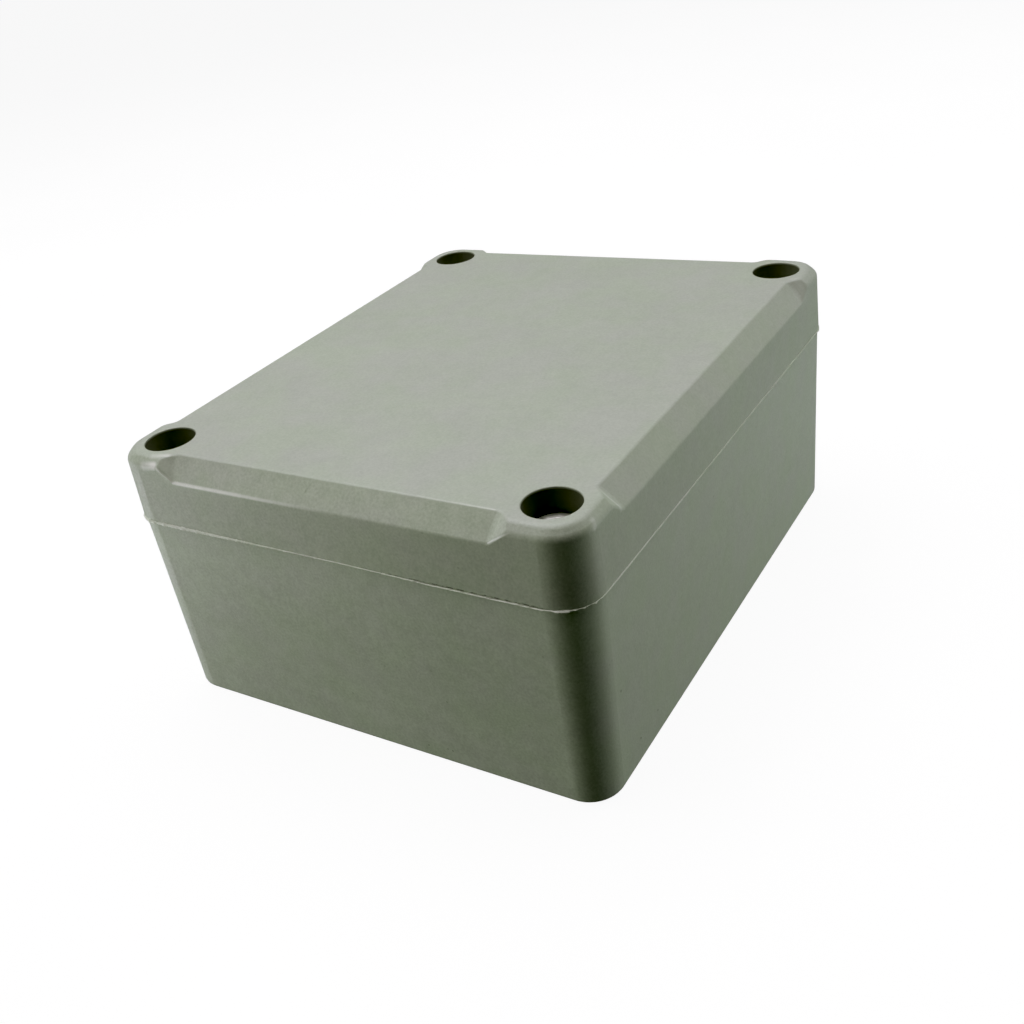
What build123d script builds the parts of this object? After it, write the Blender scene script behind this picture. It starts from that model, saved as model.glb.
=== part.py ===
"""Two-piece moulded electronics enclosure: base, lid, gasket, four captive lid screws."""
from build123d import *
import math
import os

# ---------------------------------------------------------------- driving sizes, mm
LENGTH = 110.0          # along Y, over the lid's lower edge
WIDTH = 92.0            # along X, over the lid's lower edge
BASE_H = 38.0           # floor underside to parting line
LID_H = 13.0            # parting line to top face
CORNER_R = 6.6          # vertical corners, in plan
STEP = 0.2              # the lid stands this far proud of the base
BASE_DRAFT = 0.75       # the base narrows by this much a side, top to bottom
LID_DRAFT = 0.28        # the lid narrows by this much a side, bottom to top
BASE_EDGE_R = 1.0       # round on the base's lower outer edge

WALL = 2.8
FLOOR = 2.8
ROOF = 2.6

BEVEL_IN = 3.4          # bevel between the corner bosses: inset on the top face
BEVEL_DOWN = 3.75       # and depth down the wall
BOSS_R = 7.1            # each boss stands out of the bevel as a cone: radius at the top face
BOSS_FLARE = 0.83       # growth in radius for each mm down
BOSS_EDGE = 1.45        # slope round the top outer edge of the bosses
BOSS_EDGE_R = 1.5       # softness of that slope's two edges
VALLEY_R = 2.0          # softness where a cone rises out of a bevel
SOFT_R = 0.7            # moulded softness of the bevels' and cones' other edges
WELL_EDGE_R = 0.2       # round on the rim of each screw well

SCREW_PITCH_X = 76.5    # lid screws, centre to centre
SCREW_PITCH_Y = 94.5
WELL_R = 4.5            # screw well in the lid
WELL_DEPTH = 7.0        # top face to the shoulder the head sits on
SHOULDER_T = 2.0        # thickness of that shoulder
CLEAR_R = 2.25          # clearance hole for the shank
POCKET_R = 3.6          # pocket the retaining ring moves in, lid and base

MOUNT_PITCH_X = 76.5    # wall-mounting holes, outside the seal, under the lid
MOUNT_PITCH_Y = 74.0
MOUNT_R = 2.2
MOUNT_CB_R = 4.3        # counterbore for the mounting screw's head
MOUNT_CB_Z = 5.0        # floor of the counterbore

BLOCK_R = 5.9           # corner block in the base, round the screw axis
BLOCK_FILLET = 2.0

TONGUE_T = 1.2          # raised rim of the base
TONGUE_H = 2.2
GROOVE_GAP = 0.2        # groove is wider than the tongue by this much a side
GROOVE_H = 3.6
LIP_IN = 1.4            # lid's inner lip, inboard of the base's wall

STAND_PITCH_X = 54.0    # circuit-board standoffs
STAND_PITCH_Y = 76.0
STAND_R = 3.1
STAND_H = 5.0
STAND_HOLE_R = 1.25
STAND_HOLE_DEPTH = 5.5

SHANK_R = 2.0           # M4 screw
HEAD_R = 3.95
HEAD_H = 3.0
SCREW_L = 16.0
UNDERCUT_R = 1.6        # groove in the shank that the retaining ring sits in
UNDERCUT_Z0 = 34.5
UNDERCUT_Z1 = 35.7
RING_R_IN = 1.67
RING_R_OUT = 3.2
RING_Z0 = 34.6
RING_Z1 = 35.6

INSERT_R = 2.9          # brass threaded insert
INSERT_BORE_R = 2.05
INSERT_Z0 = 26.4
INSERT_Z1 = 33.9

TOP = BASE_H + LID_H
HX, HY = SCREW_PITCH_X / 2, SCREW_PITCH_Y / 2
MX, MY = MOUNT_PITCH_X / 2, MOUNT_PITCH_Y / 2
CORNERS = [(1, -1), (-1, -1), (-1, 1), (1, 1)]   # numbered anticlockwise from +X -Y


def prism(sketch, z0, z1):
    """Straight extrusion of a flat outline between two heights."""
    return extrude(Pos(0, 0, z0) * sketch, amount=z1 - z0, dir=(0, 0, 1))


def tapered(w0, l0, r0, z0, w1, l1, r1, z1):
    """Body between two rounded rectangles, with straight drafted walls."""
    low = Pos(0, 0, z0) * RectangleRounded(w0, l0, r0)
    high = Pos(0, 0, z1) * RectangleRounded(w1, l1, r1)
    return loft([low.face(), high.face()], ruled=True)


def cyl(x, y, r, z0, z1):
    return Pos(x, y, z0) * Cylinder(r, z1 - z0, align=(Align.CENTER, Align.CENTER, Align.MIN))


def cavity():
    """Plan of the sealed space in the base: a rectangle with a block taken out at each corner.
    Each block holds one lid screw and one wall-mounting hole, both outside the seal."""
    wi, li = WIDTH - 2 * STEP - 2 * WALL, LENGTH - 2 * STEP - 2 * WALL
    plan = Rectangle(wi, li)
    far = 30.0
    for sx, sy in CORNERS:
        side = Pos(sx * (HX - BLOCK_R + far / 2), sy * (MY + far / 2)) * Rectangle(far, far)
        end = Pos(sx * (HX + far / 2), sy * (MY - BLOCK_R + far / 2)) * Rectangle(far, far)
        nose = Pos(sx * HX, sy * MY) * Circle(BLOCK_R)
        plan -= side + end + nose
    sharp = []
    for v in plan.vertices():
        x, y = abs(v.X), abs(v.Y)
        on_end_wall = abs(y - li / 2) < 1e-4 and abs(x - (HX - BLOCK_R)) < 1e-4
        on_side_wall = abs(x - wi / 2) < 1e-4 and abs(y - (MY - BLOCK_R)) < 1e-4
        if on_end_wall or on_side_wall:
            sharp.append(v)
    assert len(sharp) == 8, len(sharp)
    return fillet(sharp, BLOCK_FILLET)


PLAN = cavity()


def grown(amount):
    """The cavity's plan grown outwards (or shrunk, if negative) by the given amount."""
    return offset(PLAN, amount=amount, kind=Kind.ARC)


# ---------------------------------------------------------------- base
wb, lb = WIDTH - 2 * STEP, LENGTH - 2 * STEP
base = tapered(
    wb - 2 * BASE_DRAFT, lb - 2 * BASE_DRAFT, CORNER_R - BASE_DRAFT, 0.0,
    wb, lb, CORNER_R, BASE_H,
)
base = fillet(base.edges().filter_by(lambda e: abs(e.center().Z) < 1e-4), BASE_EDGE_R)
base = fillet(base.edges().filter_by(lambda e: abs(e.center().Z - BASE_H) < 1e-4), 0.15)
base -= prism(PLAN, FLOOR, BASE_H + 1)
base += prism(grown(TONGUE_T) - PLAN, BASE_H - 0.5, BASE_H + TONGUE_H)
for sx, sy in CORNERS:
    # lid screw: ring pocket, insert seat, and a blind relief for the screw's tip
    base -= cyl(sx * HX, sy * HY, POCKET_R, INSERT_Z1, BASE_H + 1)
    base -= cyl(sx * HX, sy * HY, INSERT_R, INSERT_Z0, INSERT_Z1 + 1)
    base -= cyl(sx * HX, sy * HY, CLEAR_R, 20.0, INSERT_Z0 + 1)
    # wall-mounting hole, counterbored from the top
    base -= cyl(sx * MX, sy * MY, MOUNT_CB_R, MOUNT_CB_Z, BASE_H + 1)
    base -= cyl(sx * MX, sy * MY, MOUNT_R, -1, MOUNT_CB_Z + 1)
for sx, sy in CORNERS:
    x, y = sx * STAND_PITCH_X / 2, sy * STAND_PITCH_Y / 2
    base += cyl(x, y, STAND_R, FLOOR - 0.5, FLOOR + STAND_H)
    base -= cyl(x, y, STAND_HOLE_R, FLOOR + STAND_H - STAND_HOLE_DEPTH, FLOOR + STAND_H + 1)

# ---------------------------------------------------------------- lid
lid = tapered(
    WIDTH, LENGTH, CORNER_R, BASE_H,
    WIDTH - 2 * LID_DRAFT, LENGTH - 2 * LID_DRAFT, CORNER_R - LID_DRAFT, TOP,
)
lid = chamfer(lid.edges().filter_by(lambda e: abs(e.center().Z - TOP) < 1e-4), BOSS_EDGE)
slope = lid.edges().filter_by(
    lambda e: abs(e.center().Z - TOP) < 1e-4 or abs(e.center().Z - TOP + BOSS_EDGE) < 0.03)
lid = fillet(slope, BOSS_EDGE_R)
lid = fillet(lid.edges().filter_by(lambda e: abs(e.center().Z - BASE_H) < 1e-4), 0.15)


def bevel_tool(half_out, run):
    """Wedge along one side, in its own frame: the wall faces +X at half_out, and it runs along Y."""
    a = Vector(half_out, TOP - BEVEL_DOWN)
    b = Vector(half_out - BEVEL_IN, TOP)
    d = (a - b).normalized()
    a2, b2 = a + d * 2.0, b - d * 2.0
    face = Polygon((a2.X, a2.Y), (a2.X + 6, a2.Y), (a2.X + 6, b2.Y), (b2.X, b2.Y), align=None)
    return extrude(Plane.XZ * face, amount=run, both=True)


drop = 6.0
bosses = [
    Pos(sx * HX, sy * HY, TOP - drop)
    * Cone(BOSS_R + BOSS_FLARE * drop, BOSS_R - BOSS_FLARE * 1.0, drop + 1.0,
           align=(Align.CENTER, Align.CENTER, Align.MIN))
    for sx, sy in CORNERS
]
tools = [
    bevel_tool(WIDTH / 2 - STEP, HY),
    Rot(0, 0, 180) * bevel_tool(WIDTH / 2 - STEP, HY),
    Rot(0, 0, 90) * bevel_tool(LENGTH / 2 - STEP, HX),
    Rot(0, 0, 270) * bevel_tool(LENGTH / 2 - STEP, HX),
]
for t in tools:
    for b in bosses:
        t = t - b
    lid -= t


def cone_faces():
    return [f for f in lid.faces() if f.geom_type == GeomType.CONE and f.bounding_box().size.Z > 2.2
            and f.center().Z > TOP - 4]


def bevel_faces():
    return [f for f in lid.faces() if f.area > 300 and 0.2 < abs(f.normal_at(f.center()).Z) < 0.95]


def edges_of(faces):
    edges = []
    for f in faces:
        for e in f.edges():
            if not any(e.is_same(o) for o in edges):
                edges.append(e)
    return edges


on_cones = edges_of(cone_faces())
valleys = [e for e in edges_of(bevel_faces()) if any(e.is_same(o) for o in on_cones)]
print("cones", len(cone_faces()), "bevels", len(bevel_faces()), "valleys", len(valleys))
lid = fillet(valleys, VALLEY_R)
lid = fillet(edges_of(cone_faces() + bevel_faces()), SOFT_R)

lid -= prism(grown(-LIP_IN), BASE_H - 1, TOP - ROOF)
lid -= prism(grown(TONGUE_T + GROOVE_GAP) - grown(-GROOVE_GAP), BASE_H - 1, BASE_H + GROOVE_H)
for sx, sy in CORNERS:
    lid -= cyl(sx * HX, sy * HY, WELL_R, TOP - WELL_DEPTH, TOP + 1)
    lid -= cyl(sx * HX, sy * HY, CLEAR_R, BASE_H - 1, TOP)
    lid -= cyl(sx * HX, sy * HY, POCKET_R, BASE_H - 1, TOP - WELL_DEPTH - SHOULDER_T)
    lid -= cyl(sx * MX, sy * MY, MOUNT_CB_R, BASE_H - 1, BASE_H + 6.0)
rims = [
    e for e in lid.edges()
    if e.geom_type == GeomType.CIRCLE and abs(e.radius - WELL_R) < 1e-3
    and abs(e.center().Z - TOP) < 1e-3
]
lid = fillet(rims, WELL_EDGE_R)

# ---------------------------------------------------------------- gasket
gasket = prism(
    grown(TONGUE_T + GROOVE_GAP) - grown(-GROOVE_GAP),
    BASE_H + TONGUE_H + 0.02, BASE_H + GROOVE_H,
)

# ---------------------------------------------------------------- screws, rings, inserts
SEAT = TOP - WELL_DEPTH


def lid_screw(x, y, turn):
    """Pan-head M4 screw with a cross recess, waisted shank and plain thread cylinder."""
    head = Pos(0, 0, SEAT) * Cylinder(HEAD_R, HEAD_H, align=(Align.CENTER, Align.CENTER, Align.MIN))
    head = fillet(head.edges().filter_by(lambda e: abs(e.center().Z - SEAT - HEAD_H) < 1e-4), 0.9)
    shank = cyl(0, 0, SHANK_R, SEAT - SCREW_L, SEAT + 0.1)
    shank = chamfer(
        shank.edges().filter_by(lambda e: abs(e.center().Z - (SEAT - SCREW_L)) < 1e-4), 0.5)
    waist = cyl(0, 0, SHANK_R + 1, UNDERCUT_Z0, UNDERCUT_Z1) - cyl(0, 0, UNDERCUT_R, 30, 40)
    body = head + shank - waist
    top = SEAT + HEAD_H
    for a in (0, 90):
        arm = extrude(Pos(0, 0, top + 0.01) * Rot(0, 0, a) * Rectangle(4.5, 0.95),
                      amount=1.75, dir=(0, 0, -1), taper=9)
        body -= arm
    body -= Pos(0, 0, top - 2.1) * Cone(0.35, 1.2, 2.11, align=(Align.CENTER, Align.CENTER, Align.MIN))
    return Pos(x, y, 0) * Rot(0, 0, turn) * body


def ring(x, y):
    return cyl(x, y, RING_R_OUT, RING_Z0, RING_Z1) - cyl(x, y, RING_R_IN, RING_Z0 - 1, RING_Z1 + 1)


def insert(x, y):
    """Brass insert: two outer bands with a waist between them, and the M4 bore."""
    b = cyl(x, y, INSERT_R, INSERT_Z0, INSERT_Z1)
    mid = (INSERT_Z0 + INSERT_Z1) / 2
    b -= cyl(x, y, INSERT_R + 1, mid - 0.8, mid + 0.8) - cyl(x, y, INSERT_R - 0.45, mid - 2, mid + 2)
    return b - cyl(x, y, INSERT_BORE_R, INSERT_Z0 - 1, INSERT_Z1 + 1)


parts = {"base": base, "lid": lid, "gasket": gasket}
for i, (sx, sy) in enumerate(CORNERS, 1):
    x, y = sx * HX, sy * HY
    parts[f"lid_screw_{i}"] = lid_screw(x, y, (20, 65, -12, 38)[i - 1])
    parts[f"retaining_ring_{i}"] = ring(x, y)
    parts[f"threaded_insert_{i}"] = insert(x, y)

os.makedirs("parts", exist_ok=True)
for name, shape in parts.items():
    shape = shape.solids()[0] if len(shape.solids()) == 1 else shape
    export_step(shape, f"parts/{name}.step")
    print(name, len(shape.solids()), round(shape.volume, 1), shape.is_valid)
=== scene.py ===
"""Looks, light and camera for a two-piece moulded plastic electronics enclosure."""
import math

import bmesh
import bpy
from mathutils import Matrix, Vector, noise


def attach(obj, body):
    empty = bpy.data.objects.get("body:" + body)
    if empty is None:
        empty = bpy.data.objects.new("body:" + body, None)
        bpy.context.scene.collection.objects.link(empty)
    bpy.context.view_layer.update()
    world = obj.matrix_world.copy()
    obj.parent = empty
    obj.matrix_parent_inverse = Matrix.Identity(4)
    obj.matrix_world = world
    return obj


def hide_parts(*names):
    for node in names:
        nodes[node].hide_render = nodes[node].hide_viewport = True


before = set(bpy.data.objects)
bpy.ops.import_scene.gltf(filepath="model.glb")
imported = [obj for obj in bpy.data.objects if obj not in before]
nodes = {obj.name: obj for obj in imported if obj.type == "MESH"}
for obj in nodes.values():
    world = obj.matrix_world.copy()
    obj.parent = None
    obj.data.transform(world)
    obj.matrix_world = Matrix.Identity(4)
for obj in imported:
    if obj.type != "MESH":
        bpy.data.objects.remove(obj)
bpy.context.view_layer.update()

MM = 0.001


# ------------------------------------------------------------------ camera
def make_camera(az, el, roll, dist, target, focal_px, centre_px):
    """Camera from its bearing, height angle, roll, distance and aim; the picture is 1024 x 1024."""
    a, e, r = math.radians(az), math.radians(el), math.radians(roll)
    back = Vector((math.sin(a) * math.cos(e), -math.cos(a) * math.cos(e), math.sin(e)))
    x = Vector((0, 0, 1)).cross(back).normalized()
    y = back.cross(x)
    x, y = math.cos(r) * x + math.sin(r) * y, math.cos(r) * y - math.sin(r) * x
    at = Vector(target) + back * dist
    data = bpy.data.cameras.new("camera")
    data.sensor_width = 36.0
    data.lens = focal_px * 36.0 / 1024
    data.shift_x = (512 - centre_px[0]) / 1024
    data.shift_y = (centre_px[1] - 512) / 1024
    data.clip_start, data.clip_end = 0.01, 20.0
    data.dof.use_dof = False
    cam = bpy.data.objects.new("camera", data)
    bpy.context.scene.collection.objects.link(cam)
    m = Matrix.Identity(4)
    for i in range(3):
        m[i][0], m[i][1], m[i][2], m[i][3] = x[i], y[i], back[i], at[i]
    cam.matrix_world = m
    bpy.context.scene.camera = cam
    return cam


make_camera(az=36.831, el=28.903, roll=-10.115, dist=0.217267,
            target=(-0.00201, -0.012525, 0.025), focal_px=1134.74, centre_px=(469, 500))


# ------------------------------------------------------------------ node helpers
class Mat:
    """A small helper around one node material."""

    def __init__(self, name):
        self.mat = bpy.data.materials.new(name)
        self.mat.use_nodes = True
        self.nt = self.mat.node_tree
        self.nt.nodes.clear()
        self.out = self.add("ShaderNodeOutputMaterial")
        self.bsdf = self.add("ShaderNodeBsdfPrincipled")
        self.link(self.bsdf, "BSDF", self.out, "Surface")
        self.coord = self.add("ShaderNodeTexCoord")

    def add(self, kind, **values):
        n = self.nt.nodes.new(kind)
        for k, v in values.items():
            if hasattr(n, k):
                setattr(n, k, v)
            else:
                n.inputs[k].default_value = v
        return n

    def link(self, a, out, b, into):
        self.nt.links.new(a.outputs[out], b.inputs[into])

    def set(self, **values):
        for k, v in values.items():
            self.bsdf.inputs[k.replace("_", " ")].default_value = v

    def noise(self, scale, detail=2.0, rough=0.5, vec=None, distortion=0.0):
        n = self.add("ShaderNodeTexNoise")
        n.inputs["Scale"].default_value = scale
        n.inputs["Detail"].default_value = detail
        n.inputs["Roughness"].default_value = rough
        n.inputs["Distortion"].default_value = distortion
        if vec is None:
            self.link(self.coord, "Object", n, "Vector")
        else:
            self.nt.links.new(vec, n.inputs["Vector"])
        return n

    def ramp(self, source, stops):
        r = self.add("ShaderNodeValToRGB")
        cr = r.color_ramp
        while len(cr.elements) < len(stops):
            cr.elements.new(0.5)
        for el, (pos, col) in zip(cr.elements, stops):
            el.position = pos
            el.color = (*col, 1) if len(col) == 3 else col
        self.nt.links.new(source, r.inputs["Fac"])
        return r

    def math(self, op, a, b=None, clamp=False):
        n = self.add("ShaderNodeMath")
        n.operation = op
        n.use_clamp = clamp
        for i, v in enumerate((a, b)):
            if v is None:
                continue
            if isinstance(v, (int, float)):
                n.inputs[i].default_value = v
            else:
                self.nt.links.new(v, n.inputs[i])
        return n.outputs[0]

    def vec(self, op, a, b=None, scale=None):
        n = self.add("ShaderNodeVectorMath")
        n.operation = op
        for i, v in enumerate((a, b)):
            if v is None:
                continue
            if isinstance(v, bpy.types.NodeSocket):
                self.nt.links.new(v, n.inputs[i])
            else:
                n.inputs[i].default_value = tuple(v)
        if scale is not None:
            self.nt.links.new(scale, n.inputs["Scale"])
        return n

    def blend(self, factor, a, b):
        n = self.add("ShaderNodeMix", data_type="RGBA")
        self.nt.links.new(factor, n.inputs["Factor"])
        for i, v in ((6, a), (7, b)):
            if isinstance(v, bpy.types.NodeSocket):
                self.nt.links.new(v, n.inputs[i])
            else:
                n.inputs[i].default_value = (*v, 1)
        return n.outputs[2]

    def remap(self, v, a, b, c, d):
        n = self.add("ShaderNodeMapRange")
        for k, x in zip(("From Min", "From Max", "To Min", "To Max"), (a, b, c, d)):
            n.inputs[k].default_value = x
        self.nt.links.new(v, n.inputs["Value"])
        return n.outputs[0]


# dark flecks seen in the moulding: x, y, z in mm, radius in mm, strength
FLECKS = [
    (45.42, -46.57, 18.65, 0.24, 0.75), (45.15, -41.36, 4.88, 0.24, 0.75), (45.15, -34.58, 5.29, 0.22, 0.7),
    (45.72, 13.16, 33.9, 0.22, 0.4), (45.56, -49.18, 25.6, 0.2, 0.35), (45.48, -51.56, 21.59, 0.2, 0.35),
    (45.87, -26.93, 44.17, 0.2, 0.35),
    (16.69, -54.11, 3.12, 0.17, 0.9), (15.71, -54.11, 3.22, 0.15, 0.8), (11.74, -54.1, 2.74, 0.17, 0.8),
    (-2.68, -54.24, 9.79, 0.2, 0.5), (17.8, -54.33, 14.14, 0.2, 0.5),
    (6.36, -54.41, 18.33, 0.2, 0.3), (11.2, -54.48, 21.57, 0.2, 0.3), (22.37, -54.57, 26.23, 0.2, 0.3),
    (15.96, -54.45, 20.04, 0.2, 0.3), (6.3, -54.26, 10.56, 0.2, 0.3), (36.81, -54.32, 13.47, 0.2, 0.3),
    (37.74, -54.62, 28.93, 0.2, 0.3), (33.03, -54.33, 14.05, 0.2, 0.3),
    (1.19, 7.19, 51.0, 0.22, 0.3), (-20.26, 9.7, 51.0, 0.22, 0.3), (6.1, -2.86, 51.0, 0.22, 0.3),
    (-21.59, 9.48, 51.0, 0.22, 0.3), (25.6, -54.91, 42.08, 0.2, 0.3), (20.18, -54.81, 46.99, 0.2, 0.3),
]

# a short slanted scuff across the front bevel: ends in mm, half width in mm, strength at each end
SCUFF = [((-2.96, -53.07, 49.16), (-2.15, -51.95, 50.32), 0.20, 0.34, 0.16)]

# painted highlights along edges of the moulding, pale and a little glossier, in the same form
PAINTED_LIGHT_STROKES = [
    ((-31.5, -54.80, 47.24), (-16.0, -54.80, 47.24), 0.46, 1.0, 0.80),
    ((-16.0, -54.80, 47.24), (4.0, -54.80, 47.24), 0.42, 0.80, 0.0),
    ((-34.9, -54.72, 49.55), (-31.6, -54.79, 47.40), 0.42, 0.62, 0.70),
    ((-38.0, -54.62, 49.45), (-35.6, -54.50, 49.80), 1.0, 0.45, 1.0),
    ((-36.6, -53.20, 50.75), (-33.6, -52.40, 51.0), 0.75, 0.22, 0.34),
    ((12.0, -51.40, 51.0), (31.3, -51.45, 51.0), 0.20, 0.0, 0.30),
    ((31.5, -54.79, 47.45), (35.4, -54.70, 49.85), 0.22, 0.72, 0.25),
    ((45.2, -48.6, 50.0), (45.72, -49.1, 49.2), 0.65, 0.26, 0.16),
    ((43.8, -42.2, 50.3), (45.74, -41.2, 47.7), 0.60, 0.22, 0.20),
    # the ramps that face +X -Y, painted paler than the bevels beside them as painted light
    ((-34.0, -53.4, 50.1), (-32.4, -54.3, 48.4), 2.0, 0.16, 0.14),
    ((43.9, 42.6, 50.1), (45.0, 41.2, 48.6), 2.0, 0.13, 0.12),
]


# painted shade: broken dark line in the joint under the lid's -Y edge, in the same form
PAINTED_JOINT_SHADE = [((6.0, -54.99, 38.05), (22.0, -54.99, 38.06), 0.33, 0.25, 0.85),
         ((22.0, -54.99, 38.06), (39.0, -54.99, 38.06), 0.34, 0.85, 0.85)]


def flecks(m, rows):
    """1 in the middle of each fleck and 0 away from them all."""
    total = None
    for x, y, z, r, strength in rows:
        d = m.add("ShaderNodeVectorMath")
        d.operation = "DISTANCE"
        m.link(m.coord, "Object", d, 0)
        d.inputs[1].default_value = (x * MM, y * MM, z * MM)
        spot = m.remap(d.outputs["Value"], r * MM * 0.45, r * MM * 1.15, strength, 0.0)
        total = spot if total is None else m.math("MAXIMUM", total, spot)
    return total


def strokes(m, rows):
    """1 along the middle of each short line and 0 away from them all, with a soft border."""
    total = None
    for a, b, r, s0, s1 in rows:
        a, b = Vector(a) * MM, Vector(b) * MM
        ab = b - a
        rel = m.vec("SUBTRACT", m.coord.outputs["Object"], a).outputs["Vector"]
        t = m.math("ADD", m.vec("DOT_PRODUCT", rel, ab / ab.length_squared).outputs["Value"], 0.0, clamp=True)
        near = m.vec("SCALE", ab, scale=t).outputs["Vector"]
        d = m.vec("DISTANCE", rel, near).outputs["Value"]
        line = m.math("MULTIPLY", m.remap(d, r * MM * 0.25, r * MM, 1.0, 0.0), m.remap(t, 0.0, 1.0, s0, s1))
        total = line if total is None else m.math("MAXIMUM", total, line)
    return total


def well_shade_mask(m):
    """1 on the walls and floors of the four deep screw wells, where the plastic gets painted shade; 0 elsewhere."""
    sep = m.add("ShaderNodeSeparateXYZ")
    m.link(m.coord, "Object", sep, "Vector")
    ax = m.math("SUBTRACT", m.math("ABSOLUTE", sep.outputs["X"]), 38.25 * MM)
    ay = m.math("SUBTRACT", m.math("ABSOLUTE", sep.outputs["Y"]), 47.25 * MM)
    r = m.math("SQRT", m.math("ADD", m.math("MULTIPLY", ax, ax), m.math("MULTIPLY", ay, ay)))
    inside = m.remap(r, 4.57 * MM, 4.68 * MM, 1.0, 0.0)
    deep = m.math("MULTIPLY", m.remap(sep.outputs["Z"], 50.55 * MM, 50.92 * MM, 1.0, 0.0),
                  m.remap(sep.outputs["Z"], 43.8 * MM, 43.9 * MM, 0.0, 1.0))
    return m.math("MULTIPLY", inside, deep)


def plastic(name, base=(0.40, 0.44, 0.352), rough=0.5, marked=True):
    """Matt moulded plastic: spark-eroded grain, slow clouding towards grey or green, and a few dark flecks."""
    m = Mat(name)
    grain = m.noise(2300, 2.5, 0.62)
    cloud = m.noise(60, 3, 0.55)
    patch = m.noise(420, 2, 0.5)
    hue = m.noise(110, 2, 0.5)
    tone = m.math("ADD", m.math("MULTIPLY", grain.outputs["Fac"], 0.55),
                  m.math("ADD", m.math("MULTIPLY", patch.outputs["Fac"], 0.25),
                         m.math("MULTIPLY", cloud.outputs["Fac"], 0.2)))
    if marked:                                    # the grain shows more on the -Y side and its bevel
        at = m.add("ShaderNodeSeparateXYZ")
        m.link(m.coord, "Object", at, "Vector")
        front = m.math("MULTIPLY", m.remap(at.outputs["Y"], -51.9 * MM, -51.5 * MM, 1.0, 0.0),
                       m.remap(at.outputs["Z"], 50.7 * MM, 50.95 * MM, 1.0, 0.0))
        gain = m.remap(front, 0.0, 1.0, 0.8, 1.6)
        tone = m.math("ADD", m.math("MULTIPLY", m.math("SUBTRACT", tone, 0.5), gain), 0.5)
    green = m.ramp(tone, [(0.30, tuple(c * k for c, k in zip(base, (0.86, 0.89, 0.845)))),
                          (0.70, tuple(c * k for c, k in zip(base, (1.12, 1.13, 1.11))))])
    grey = m.ramp(tone, [(0.30, tuple(c * k for c, k in zip(base, (0.885, 0.865, 0.90)))),
                         (0.70, tuple(c * k for c, k in zip(base, (1.145, 1.115, 1.16))))])
    mix = m.add("ShaderNodeMix", data_type="RGBA")
    m.nt.links.new(m.remap(hue.outputs["Fac"], 0.36, 0.64, 0.0, 1.0), mix.inputs["Factor"])
    m.nt.links.new(green.outputs["Color"], mix.inputs[6])
    m.nt.links.new(grey.outputs["Color"], mix.inputs[7])
    # sparse flecks everywhere, and the ones that can be seen one by one
    cells = m.add("ShaderNodeTexVoronoi")
    cells.inputs["Scale"].default_value = 150
    m.link(m.coord, "Object", cells, "Vector")
    sep = m.add("ShaderNodeSeparateColor")
    m.link(cells, "Color", sep, "Color")
    rare = m.remap(sep.outputs["Red"], 0.80, 0.84, 0.0, 0.32)
    dots = m.math("MULTIPLY", rare, m.remap(cells.outputs["Distance"], 0.014, 0.034, 1.0, 0.0))
    marks = m.math("MAXIMUM", dots, flecks(m, FLECKS)) if marked else dots
    deep_tone = tuple(c * k for c, k in zip(base, (0.22, 0.27, 0.2)))
    colour = m.blend(marks, mix.outputs[2], deep_tone)
    r = m.remap(grain.outputs["Fac"], 0.3, 0.7, rough + 0.05, rough - 0.05)
    if marked:
        broken = m.remap(patch.outputs["Fac"], 0.35, 0.6, 0.45, 1.0)
        colour = m.blend(m.math("MULTIPLY", strokes(m, SCUFF), broken), colour, deep_tone)
        # painted highlights and painted light: pale colour along the listed edges and on two ramps, with the
        # roughness lowered there
        painted_light = m.math("MULTIPLY", strokes(m, PAINTED_LIGHT_STROKES), m.remap(patch.outputs["Fac"], 0.3, 0.6, 0.8, 1.0))
        colour = m.blend(painted_light, colour, (0.97, 0.97, 0.93))
        r = m.math("SUBTRACT", r, m.math("MULTIPLY", painted_light, 0.25))
        # painted shade: broken dark dashes along the joint under the lid's -Y edge
        dashes = m.remap(m.noise(1000, 2, 0.6).outputs["Fac"], 0.46, 0.56, 0.1, 1.0)
        colour = m.blend(m.math("MULTIPLY", strokes(m, PAINTED_JOINT_SHADE), dashes), colour, (0.02, 0.022, 0.016))
        # painted shade: inside the four wells the plastic is coloured about a fifth as bright and made rougher
        painted_well_shade = well_shade_mask(m)
        colour = m.blend(painted_well_shade, colour, tuple(c * k for c, k in zip(base, (0.22, 0.215, 0.16))))
        r = m.math("ADD", r, m.math("MULTIPLY", painted_well_shade, 0.3))
    m.nt.links.new(colour, m.bsdf.inputs["Base Color"])
    m.nt.links.new(r, m.bsdf.inputs["Roughness"])
    bump = m.add("ShaderNodeBump")
    bump.inputs["Strength"].default_value = 0.3
    bump.inputs["Distance"].default_value = 0.00007
    m.nt.links.new(grain.outputs["Fac"], bump.inputs["Height"])
    m.link(bump, "Normal", m.bsdf, "Normal")
    m.set(IOR=1.5)
    m.bsdf.inputs["Specular IOR Level"].default_value = 0.7
    return m.mat


def steel(name):
    m = Mat(name)
    n = m.noise(900, 3, 0.6)
    col = m.ramp(n.outputs["Fac"], [(0.3, (0.50, 0.50, 0.46)), (0.7, (0.64, 0.64, 0.60))])
    m.link(col, "Color", m.bsdf, "Base Color")
    r = m.remap(n.outputs["Fac"], 0.3, 0.7, 0.40, 0.54)
    m.nt.links.new(r, m.bsdf.inputs["Roughness"])
    m.set(Metallic=1.0)
    return m.mat


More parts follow.
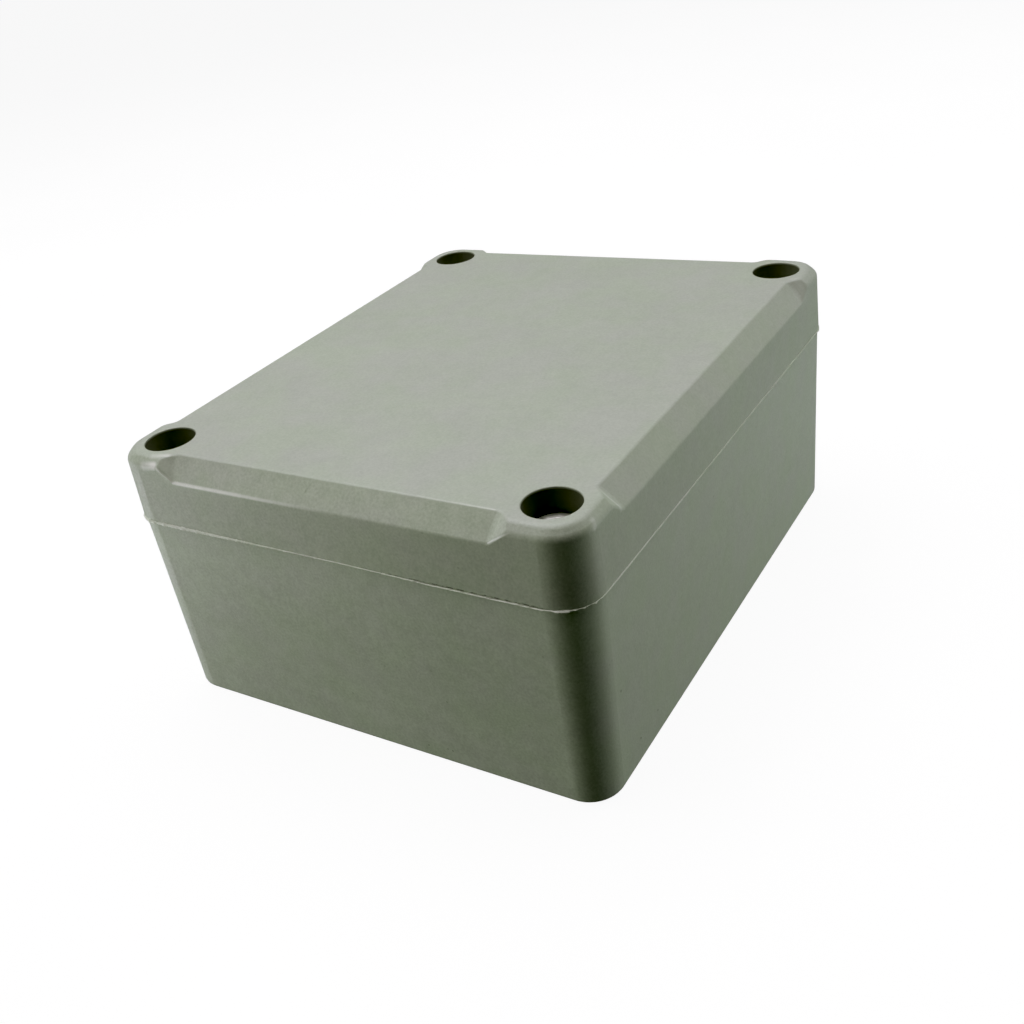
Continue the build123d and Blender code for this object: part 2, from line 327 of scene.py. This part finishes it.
def simple(name, dark, light, rough, metallic=0.0, scale=900.0, bump=0.0, spread=0.06):
    m = Mat(name)
    n = m.noise(scale, 3, 0.6)
    col = m.ramp(n.outputs["Fac"], [(0.3, dark), (0.7, light)])
    m.link(col, "Color", m.bsdf, "Base Color")
    r = m.remap(n.outputs["Fac"], 0.3, 0.7, rough - spread, rough + spread)
    m.nt.links.new(r, m.bsdf.inputs["Roughness"])
    m.set(Metallic=metallic)
    if bump:
        b = m.add("ShaderNodeBump")
        b.inputs["Strength"].default_value = 0.4
        b.inputs["Distance"].default_value = bump
        m.nt.links.new(n.outputs["Fac"], b.inputs["Height"])
        m.link(b, "Normal", m.bsdf, "Normal")
    return m.mat


brass = simple("brass_look", (0.66, 0.44, 0.17), (0.82, 0.60, 0.27), 0.27, 1.0, 1500)
rubber = simple("rubber_look", (0.018, 0.018, 0.019), (0.035, 0.035, 0.036), 0.62, 0.0, 1800, 0.00004)
nylon = simple("nylon_look", (0.62, 0.60, 0.53), (0.74, 0.72, 0.65), 0.42, 0.0, 700, 0.00001)
housing = plastic("lid_plastic", base=(0.413, 0.455, 0.378))
housing_low = plastic("base_plastic", base=(0.488, 0.538, 0.455))     # painted a little lighter than the lid: painted light standing for the light from below
# painted light: the parting flash's plastic is coloured far paler than the housing, so the fin shows as a bright
# line
flash_lit_plastic = plastic("flash_plastic_painted_light", base=(0.76, 0.80, 0.705), rough=0.4, marked=False)
for n, mat in (("base", housing_low), ("lid", housing)):
    nodes[n].data.materials.clear()
    nodes[n].data.materials.append(mat)
screw = steel("screw_steel_look")
for n, mat in [("gasket", rubber)] + [(f"{k}_{i}", m) for i in range(1, 5) for k, m in (
        ("lid_screw", screw), ("retaining_ring", nylon), ("threaded_insert", brass))]:
    nodes[n].data.materials.clear()
    nodes[n].data.materials.append(mat)


# ------------------------------------------------------------------ mesh helpers
def new_object(name, bm, material, body, smooth_deg=None):
    """Mesh object made from a bmesh, with its material, riding on a body."""
    bmesh.ops.recalc_face_normals(bm, faces=bm.faces)
    me = bpy.data.meshes.new(name)
    bm.to_mesh(me)
    bm.free()
    for p in me.polygons:
        p.use_smooth = smooth_deg is not None
    if smooth_deg is not None:
        me.set_sharp_from_angle(angle=math.radians(smooth_deg))
    me.materials.append(material)
    o = bpy.data.objects.new(name, me)
    bpy.context.scene.collection.objects.link(o)
    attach(o, body)
    return o


def grid(bm, rings, close_rows=True, close_ends=False):
    """Quads between rings of points; each ring is closed, and the last ring may join the first."""
    rows = [[bm.verts.new(p) for p in r] for r in rings]
    n = len(rows[0])
    last = len(rows) if close_ends else len(rows) - 1
    for i in range(last):
        a, b = rows[i], rows[(i + 1) % len(rows)]
        for j in range(n if close_rows else n - 1):
            k = (j + 1) % n
            bm.faces.new((a[j], a[k], b[k], b[j]))
    return rows


def thread_depth(theta, z, pitch, depth):
    """How far a right-hand V thread is cut at this angle and height: 0 on the crest, depth in the root."""
    u = (z / pitch - theta / (2 * math.pi)) % 1.0
    v = abs(u - 0.5) * 2
    return depth * min(1.0, max(0.0, (v - 0.12) / 0.70))


# ------------------------------------------------------------------ flash at the parting line
def rim(half_x, half_y, r, step):
    """Points round a rounded rectangle: x, y, outward normal, and distance run. It starts in the middle
    of the +Y side and runs anticlockwise."""
    out = []
    corners = [(-1, 1, 90), (-1, -1, 180), (1, -1, 270), (1, 1, 0)]
    cx, cy = half_x - r, half_y - r
    pts = [(0, half_y, 0, 1)]
    for sx, sy, a0 in corners:
        n = max(8, int(r * math.pi / 2 / step))
        for i in range(n + 1):
            a = math.radians(a0 + 90 * i / n)
            pts.append((sx * cx + r * math.cos(a), sy * cy + r * math.sin(a), math.cos(a), math.sin(a)))
    pts.append((0, half_y, 0, 1))
    run = 0.0
    for (x0, y0, u0, v0), (x1, y1, u1, v1) in zip(pts, pts[1:]):
        d = math.hypot(x1 - x0, y1 - y0)
        n = max(1, int(round(d / step)))
        for i in range(n):
            t = i / n
            out.append((x0 + (x1 - x0) * t, y0 + (y1 - y0) * t, u0 + (u1 - u0) * t, v0 + (v1 - v0) * t, run + d * t))
        run += d
    return out


def flash(name, material, body):
    """Thin, slightly ragged fin of plastic left along the base's rim where the mould halves met."""
    bm = bmesh.new()
    rings = []
    for x, y, nx, ny, s in rim(45.8, 54.8, 6.6, 0.2):
        slow = noise.noise(Vector((s * 0.09, 3.1, 0.0)))
        mid = noise.noise(Vector((s * 0.55, 7.7, 0.0)))
        fine = noise.noise(Vector((s * 2.1, 1.9, 0.0)))
        out = 0.36 + 0.03 * slow + 0.03 * mid + 0.03 * fine
        thick = 0.09 + 0.02 * mid + 0.02 * fine
        sink = 0.0
        bead = 0.05                      # height of the slope above the fin's top edge
        if x > 44:                       # thinnest on the +X side
            out += 0.02
            bead = 0.06
        lift = 1.0                       # 1 where the fin turns up over the joint, 0 where it lies below it
        if y < -50:                      # the -Y side: heavier at its left end and by the corner nearest the camera
            left = max(0.0, min(1.0, (-x - 6) / 24)) * max(0.0, min(1.0, (-y - 52.4) / 2.2))
            right = max(0.0, min(1.0, (x - 2) / 18))
            rag = 0.20 * noise.noise(Vector((s * 1.1, 5.0, 2.0))) + 0.16 * noise.noise(Vector((s * 3.3, 9.0, 2.0)))
            out += 0.17 * left + 0.03 * right + rag * (0.8 + 0.2 * right)
            thick += 0.13 * left - 0.01 * right + 0.35 * rag
            thick += 0.35 * rag * right
            sink = right * max(0.0, 0.08 - 0.8 * rag)
            lift = 1.0 - right + 3.0 * max(0.0, rag) * right
            bead += 0.17 * left + 0.9 * rag * left
            lift = max(0.0, min(1.0, lift))
        if x > 39.2 and y < -48.2:       # round the corner itself, heaviest on its -Y side
            turn = math.degrees(math.atan2(y + 48.2, x - 39.2))        # -90 at the -Y side, 0 at the +X side
            heavy = math.exp(-((turn + 63) / 11) ** 2)
            out += 0.26 * heavy - 0.02
            thick += 0.10 * heavy - 0.01
            bead = 0.03 + 0.14 * heavy
            sink = 0.0
            lift = max(0.2, min(1.0, (turn + 50) / 50))
        if x > 44 and y > 46:            # small nub on the far right corner
            out += 0.14 * math.exp(-((y - 48.6) / 0.5) ** 2)
        out = max(0.29, out)
        thick = max(0.06, thick)
        bead = max(0.02, bead)
        top = 37.965
        up = 0.25 * lift - min(0.16, sink) * (1 - lift)
        sect = [(-0.30, top - 0.25), (-0.30, top - 0.02), (0.10, top - 0.005), (0.215, top + 0.22 * up),
                (0.217, top + up + bead), (max(0.26, out * 0.84), top + up + 0.3 * bead), (out, top + up - thick * 0.35),
                (out * 0.96, top + up - thick), (0.12, top - 0.06 - thick * (1 - lift)), (-0.05, top - 0.25)]
        rings.append([Vector((x + nx * n, y + ny * n, z)) * MM for n, z in sect])
    grid(bm, rings, close_ends=True)
    o = new_object(name, bm, material, body, 50)
    return o


flash("parting_flash", flash_lit_plastic, "base")


# ------------------------------------------------------------------ lid screws with their thread
PITCH = 0.7
CORNERS = [(1, -1), (-1, -1), (-1, 1), (1, 1)]
SX, SY = 38.25, 47.25


def threaded_screw(i):
    """The CAD screw's head, cross recess and shank above the waist, with a real M4 helix below it."""
    x0, y0 = CORNERS[i - 1][0] * SX, CORNERS[i - 1][1] * SY
    src = nodes[f"lid_screw_{i}"]
    bm = bmesh.new()
    bm.from_mesh(src.data)
    bmesh.ops.remove_doubles(bm, verts=bm.verts, dist=1e-6)
    # flatter head: the CAD's 0.9 mm edge round drawn in to 0.3 mm, inside the same outline
    for v in bm.verts:
        rx, ry, z = v.co.x / MM - x0, v.co.y / MM - y0, v.co.z / MM
        r = math.hypot(rx, ry)
        if z > 46.099 and r > 3.05 - 1e-4:
            a = math.atan2(z - 46.1, r - 3.05)
            rn, zn = 3.65 + 0.3 * math.cos(a), 46.7 + 0.3 * math.sin(a)
            v.co = Vector((x0 + rx * rn / r, y0 + ry * rn / r, zn)) * MM
    zc = 35.0 * MM
    geom = bm.verts[:] + bm.edges[:] + bm.faces[:]
    bmesh.ops.bisect_plane(bm, geom=geom, dist=1e-7, plane_co=(0, 0, zc), plane_no=(0, 0, 1), clear_inner=True)
    edge = [v for v in bm.verts if abs(v.co.z - zc) < 1e-6]
    edge.sort(key=lambda v: math.atan2(v.co.y - y0 * MM, v.co.x - x0 * MM))
    angles = [math.atan2(v.co.y - y0 * MM, v.co.x - x0 * MM) for v in edge]
    # evened ring just under the cut, then the waist, the threaded end and its chamfer
    n = len(edge)
    rows = [(34.6, 1.6, 0), (34.5, 1.6, 0), (34.5, 1.66, 0)]
    z = 34.42
    while z > 28.0 + 1e-6:
        rows.append((z, 2.0, 1))
        z -= PITCH / 9
    rows.append((28.0, 2.0, 1))
    prev = edge
    for z, r, cut in rows:
        ring = []
        for a in angles:
            rr = r
            if cut:
                rr = r - thread_depth(a, z, PITCH, 0.36)
                rr = min(rr, 1.5 + max(0.0, z - 28.0), 1.66 + max(0.0, 34.5 - z) * 1.6)
            ring.append(bm.verts.new(Vector((x0 + rr * math.cos(a), y0 + rr * math.sin(a), z)) * MM))
        for j in range(n):
            k = (j + 1) % n
            bm.faces.new((prev[j], prev[k], ring[k], ring[j]))
        prev = ring
    tip = bm.verts.new(Vector((x0, y0, 27.98)) * MM)
    for j in range(n):
        bm.faces.new((prev[j], prev[(j + 1) % n], tip))
    o = new_object(f"screw_{i}_threaded", bm, screw, f"screw_{i}", 32)
    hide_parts(f"lid_screw_{i}")
    return o


for i in range(1, 5):
    threaded_screw(i)


# ------------------------------------------------------------------ knurled brass inserts
def knurled_insert(i):
    """Brass insert: plain collar, two bands of straight knurls with opposite lean, and a threaded bore."""
    x0, y0 = CORNERS[i - 1][0] * SX, CORNERS[i - 1][1] * SY
    bm = bmesh.new()
    n = 96
    teeth = 24
    rows = []                                     # (z, radius, lean, knurled, bore)
    for z, r, kn in [(33.9, 2.62, 0), (33.75, 2.8, 0), (33.3, 2.8, 0), (33.3, 2.55, 0), (33.1, 2.55, 0),
                     (33.05, 2.86, 1), (32.3, 2.86, 1), (31.5, 2.86, 1), (30.98, 2.86, 1), (30.93, 2.44, 0),
                     (29.37, 2.44, 0), (29.32, 2.86, -1), (28.5, 2.86, -1), (27.6, 2.86, -1), (26.75, 2.86, -1),
                     (26.7, 2.6, 0), (26.4, 2.45, 0)]:
        rows.append((z, r, kn, 0))
    z = 26.4
    rows.append((26.4, 2.3, 0, 0))
    while z < 33.9 - 1e-6:
        rows.append((z, 2.06, 0, 1))
        z += PITCH / 8
    rows.append((33.9, 2.3, 0, 0))
    rings = []
    for z, r, kn, bore in rows:
        ring = []
        for j in range(n):
            a = 2 * math.pi * j / n
            rr = r
            if kn:
                ph = (a * teeth / (2 * math.pi) + kn * (z - 30.0) * 0.55) % 1.0
                rr -= 0.20 * abs(ph - 0.5) * 2
            if bore:
                d = thread_depth(a, z, PITCH, 0.24)
                rr += 0.24 - min(0.24, d)
                ends = min(z - 26.4, 33.9 - z)
                rr = max(rr, 2.3 - ends * 1.0)
            ring.append(Vector((x0 + rr * math.cos(a), y0 + rr * math.sin(a), z)) * MM)
        rings.append(ring)
    grid(bm, rings, close_ends=True)
    o = new_object(f"insert_{i}_knurled", bm, brass, "base", 30)
    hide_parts(f"threaded_insert_{i}")
    return o


for i in range(1, 5):
    knurled_insert(i)


# ------------------------------------------------------------------ stage
def make_floor():
    """White paper sweep: nearly all its own white, so that only a faint soft shadow shows on it. It is open
    under the box, so that the underside and its holes can be seen from below, and it meets the rounded
    lower edge a hair above the underside."""
    me = bpy.data.meshes.new("floor")
    s, a, b, z = 12.0, 42.4 * MM, 51.4 * MM, 0.04 * MM
    me.from_pydata([(-s, -s, z), (s, -s, z), (s, s, z), (-s, s, z), (-a, -b, z), (a, -b, z), (a, b, z), (-a, b, z)],
                   [], [(0, 1, 5, 4), (1, 2, 6, 5), (2, 3, 7, 6), (3, 0, 4, 7)])
    o = bpy.data.objects.new("floor", me)
    bpy.context.scene.collection.objects.link(o)
    m = Mat("floor_paper")
    n = m.noise(9, 2, 0.5)
    col = m.ramp(n.outputs["Fac"], [(0.3, (0.075, 0.075, 0.075)), (0.7, (0.085, 0.085, 0.085))])
    m.link(col, "Color", m.bsdf, "Base Color")
    m.set(Roughness=0.9, Emission_Strength=1.0)
    m.bsdf.inputs["Specular IOR Level"].default_value = 0.0
    m.bsdf.inputs["Emission Color"].default_value = (0.935, 0.935, 0.935, 1)
    me.materials.append(m.mat)
    o.visible_diffuse = False
    o.visible_glossy = False
    o.visible_shadow = False
    return o


floor = make_floor()


# ------------------------------------------------------------------ light
def area(name, az, el, dist, size, watts, colour=(1, 1, 1)):
    """Soft panel seen from the object at bearing az (0 is -Y, 90 is +X) and height angle el."""
    a, e = math.radians(az), math.radians(el)
    d = Vector((math.sin(a) * math.cos(e), -math.cos(a) * math.cos(e), math.sin(e)))
    data = bpy.data.lights.new(name, "AREA")
    data.shape = "SQUARE"
    data.size = size
    data.energy = watts
    data.color = colour
    o = bpy.data.objects.new(name, data)
    bpy.context.scene.collection.objects.link(o)
    o.location = Vector((0, 0, 0.03)) + d * dist
    o.rotation_euler = d.to_track_quat("Z", "Y").to_euler()
    o.visible_camera = False
    return o


# soft panels overhead, to the left, behind and to the right, and low ones that stand for the light off the
# paper; none low on the camera's side, so the corner nearest to it stays dark: bearing, height angle, W, tint
LIGHTS = [
    (0, 88, 0.629, (1.0, 0.96, 0.99)),
    (120, -12, 1.273, (0.96, 1.0, 0.96)),
    (120, 36, 0.139, (0.92, 1.0, 0.85)),
    (120, 60, 0.349, (1.0, 0.98, 0.98)),
    (150, -12, 0.362, (0.89, 1.0, 0.96)),
    (150, 12, 0.417, (0.98, 1.0, 0.96)),
    (150, 36, 0.065, (1.0, 0.99, 1.0)),
    (150, 60, 0.55, (0.99, 0.97, 1.0)),
    (180, 60, 0.488, (0.98, 0.94, 1.0)),
    (210, 60, 0.586, (0.97, 0.93, 1.0)),
    (240, 60, 0.773, (0.98, 0.94, 1.0)),
    (270, -12, 0.184, (1.0, 1.0, 1.0)),
    (270, 60, 0.858, (0.99, 0.96, 1.0)),
    (300, -12, 2.08, (0.99, 1.0, 0.99)),
    (300, 36, 0.192, (1.0, 0.98, 0.97)),
    (300, 60, 0.753, (1.0, 0.98, 1.0)),
    (330, -12, 0.20, (0.79, 1.0, 0.58)),
    (330, 36, 0.23, (0.99, 1.0, 0.85)),
    (330, 60, 0.33, (1.0, 0.94, 0.92)),
]
for az, el, watts, colour in LIGHTS:
    area(f"panel_{az}_{el}", az, el, 0.7, 0.42, watts, colour)

world = bpy.data.worlds.new("world")
world.use_nodes = True
world.node_tree.nodes["Background"].inputs["Color"].default_value = (1, 1, 1, 1)
world.node_tree.nodes["Background"].inputs["Strength"].default_value = 0.99
world.cycles_visibility.diffuse = False
world.cycles_visibility.glossy = False
bpy.context.scene.world = world
view = bpy.context.scene.view_settings
view.view_transform = "Standard"
view.use_curve_mapping = True
view.curve_mapping.black_level = (0.012, 0.010, 0.014)
blue = view.curve_mapping.curves[2]
for x, y in ((0.10, 0.091), (0.22, 0.211), (0.37, 0.372)):
    blue.points.new(x, y)
view.curve_mapping.update()
